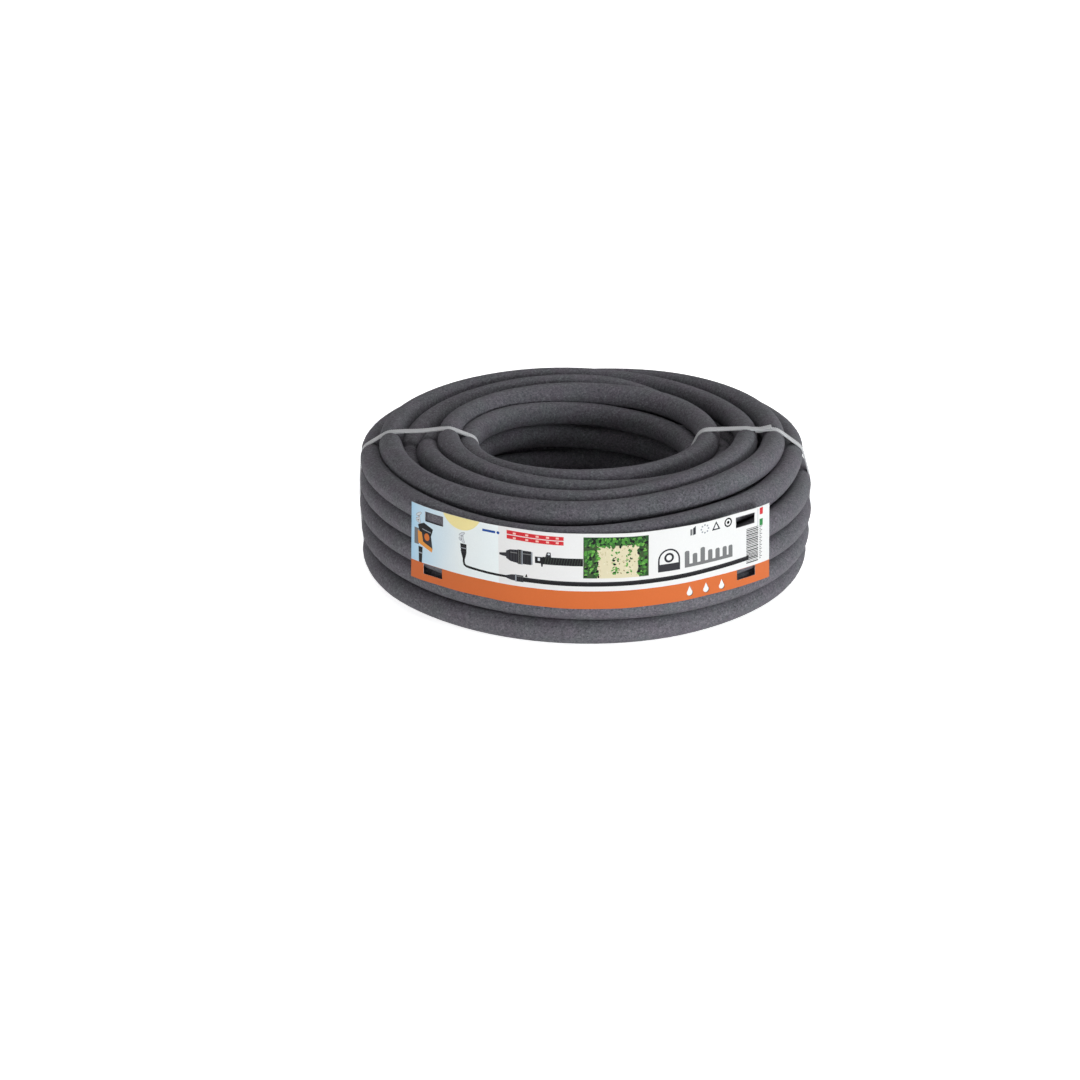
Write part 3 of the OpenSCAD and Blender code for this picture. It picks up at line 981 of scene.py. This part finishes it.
def tie_plastic():
    """Light grey moulded strap: fine fibres lengthways, dust in the hollows."""
    m = Nodes("tie_plastic")
    stretch = m.node("ShaderNodeMapping")
    m.put(stretch.inputs["Vector"], m.coord)
    stretch.inputs["Scale"].default_value = (1, 9, 1)
    fibre = m.noise(300, 3.0, 0.6, stretch.outputs[0])
    dust = m.noise(45, 3.0, 0.6)
    colour = m.ramp(fibre, [(0.25, (0.50, 0.50, 0.52)), (0.75, (0.68, 0.68, 0.70))])
    colour = m.mix(m.math("MULTIPLY", dust, 0.35, clamp=True), colour, (0.53, 0.53, 0.54))
    m.put(m.bsdf.inputs["Base Color"], colour)
    m.put(m.bsdf.inputs["Roughness"], m.math("ADD", m.math("MULTIPLY", dust, 0.25), 0.38, clamp=True))
    m.put(m.bsdf.inputs["Normal"], m.bump(fibre, 0.35, 0.0001))
    return m.mat


def label_print():
    """Printed satin film: the inks of the drawing, faint mottle of the print,
    small scuffs and long soft waves."""
    m = Nodes("label_print")
    attr = m.node("ShaderNodeVertexColor", layer_name="ink")
    mottle = m.noise(900, 2.0, 0.6)
    scuff = m.noise(120, 6.0, 0.72)
    shade = m.ramp(mottle, [(0.2, (0.785, 0.78, 0.78)), (0.8, (0.825, 0.82, 0.82))])
    colour = m.mix(1.0, attr.outputs["Color"], shade, "MULTIPLY")
    worn = m.math("MULTIPLY", m.math("SUBTRACT", scuff, 0.66, clamp=True), 1.6, clamp=True)
    colour = m.mix(worn, colour, (0.70, 0.70, 0.70))
    m.put(m.bsdf.inputs["Base Color"], colour)
    m.put(m.bsdf.inputs["Roughness"], m.math("ADD", m.math("MULTIPLY", scuff, 0.3), 0.3, clamp=True))
    m.bsdf.inputs["Specular IOR Level"].default_value = 0.2
    wave = m.noise(28, 2.0, 0.5)
    m.put(m.bsdf.inputs["Normal"], m.bump(wave, 0.25, 0.0012))
    return m.mat


def floor_pale():
    m = Nodes("floor_pale")
    spots = m.noise(3.0, 3.0, 0.5)
    m.put(m.bsdf.inputs["Base Color"], m.ramp(spots, [(0.3, (0.90, 0.90, 0.90)), (0.7, (0.92, 0.92, 0.92))]))
    m.bsdf.inputs["Roughness"].default_value = 0.9
    m.bsdf.inputs["Specular IOR Level"].default_value = 0.1
    # a light table: the floor glows a little outside the coil, so that it stays
    # pale close to it, and is dark under it
    axes = m.node("ShaderNodeSeparateXYZ")
    m.put(axes.inputs[0], m.coord)
    far = m.math("SQRT", m.math("ADD", m.math("MULTIPLY", axes.outputs[0], axes.outputs[0]),
                                m.math("MULTIPLY", axes.outputs[1], axes.outputs[1])))
    m.bsdf.inputs["Emission Color"].default_value = (1, 1, 1, 1)
    seen = m.node("ShaderNodeLightPath").outputs["Is Camera Ray"]
    glow = m.math("ADD", m.math("MULTIPLY", seen, 0.33), 0.45)
    m.put(m.bsdf.inputs["Emission Strength"], m.math("MULTIPLY", m.math("GREATER_THAN", far, 0.14), glow))
    return m.mat


rubber = porous_rubber()
hose.data.materials.append(rubber)
tie_mat = tie_plastic()
tie_l.data.materials.append(tie_mat)
tie_r.data.materials.append(tie_mat)
label_mat = label_print()
label.data.materials.append(label_mat)
# the replaced solids stay hidden, but have the same finishes
for n, mat in (
    ("hose_coil", rubber), ("hose_outer_end", rubber), ("hose_inner_end", rubber),
    ("tie_left", tie_mat), ("tie_right", tie_mat),
):
    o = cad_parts[n]
    o.data.materials.clear()
    o.data.materials.append(mat)

# --------------------------------------------------------------------------
# stage and light
# --------------------------------------------------------------------------
floor_bm = bmesh.new()
bmesh.ops.create_grid(floor_bm, x_segments=8, y_segments=8, size=9.0)
floor_mesh = bpy.data.meshes.new("floor")
floor_bm.to_mesh(floor_mesh)
floor_bm.free()
floor = bpy.data.objects.new("floor", floor_mesh)
SCENE.collection.objects.link(floor)
floor.data.materials.append(floor_pale())

SCENE.view_settings.view_transform = "Standard"

# the sky lights softly; where it is seen itself it is as pale as the floor
world = bpy.data.worlds.new("world")
SCENE.world = world
world.use_nodes = True
wt = world.node_tree
sky_light = wt.nodes["Background"]
sky_light.inputs["Color"].default_value = (1, 1, 1, 1)
sky_light.inputs["Strength"].default_value = 0.02
sky_seen = wt.nodes.new("ShaderNodeBackground")
sky_seen.inputs["Color"].default_value = (0.93, 0.93, 0.93, 1)
sky_seen.inputs["Strength"].default_value = 1.0
sky_mix = wt.nodes.new("ShaderNodeMixShader")
wt.links.new(wt.nodes.new("ShaderNodeLightPath").outputs["Is Camera Ray"], sky_mix.inputs[0])
wt.links.new(sky_light.outputs[0], sky_mix.inputs[1])
wt.links.new(sky_seen.outputs[0], sky_mix.inputs[2])
wt.links.new(sky_mix.outputs[0], wt.nodes["World Output"].inputs["Surface"])


def area(name, loc, target, size, power, color=(1, 1, 1)):
    d = bpy.data.lights.new(name, "AREA")
    d.shape = "RECTANGLE"
    d.size, d.size_y = size
    d.energy = power
    d.color = color
    o = bpy.data.objects.new(name, d)
    SCENE.collection.objects.link(o)
    o.location = loc
    o.rotation_euler = (Vector(target) - Vector(loc)).to_track_quat("-Z", "Y").to_euler()
    return o


# broad soft boxes above and behind, low ones in front and at the right, which
# leave the eye of the coil in shade
area("top", (0.0, 0.3, 2.6), (0, 0, 0), (3.0, 1.6), 11)
area("top_back", (0.0, 1.7, 2.2), (0, 0.05, 0), (3.0, 1.4), 15.5)
area("back_right", (1.6, 1.8, 1.5), (0, 0, 0.05), (1.0, 0.8), 17.5)
area("back_left", (-1.6, 1.8, 1.5), (0, 0, 0.05), (1.0, 0.8), 6.5)
area("left_front", (-1.9, -1.5, 0.40), (-0.08, -0.08, 0.05), (0.7, 0.5), 8.6)
area("left", (-2.0, -0.4, 1.6), (-0.1, 0, 0.05), (0.8, 0.8), 2.6)
area("front", (-0.2, -3.2, 0.25), (0, 0, 0.05), (3.4, 0.45), 27)
area("front_high", (0, -2.8, 1.2), (0, 0, 0.05), (3.0, 0.5), 4.5)
area("right", (1.9, -1.5, 0.45), (0.08, -0.08, 0.05), (0.7, 0.5), 32.5, (0.95, 1.0, 1.0))
area("right_high", (2.0, -0.4, 1.6), (0.1, 0, 0.05), (0.8, 0.8), 5.6, (0.95, 1.0, 1.0))
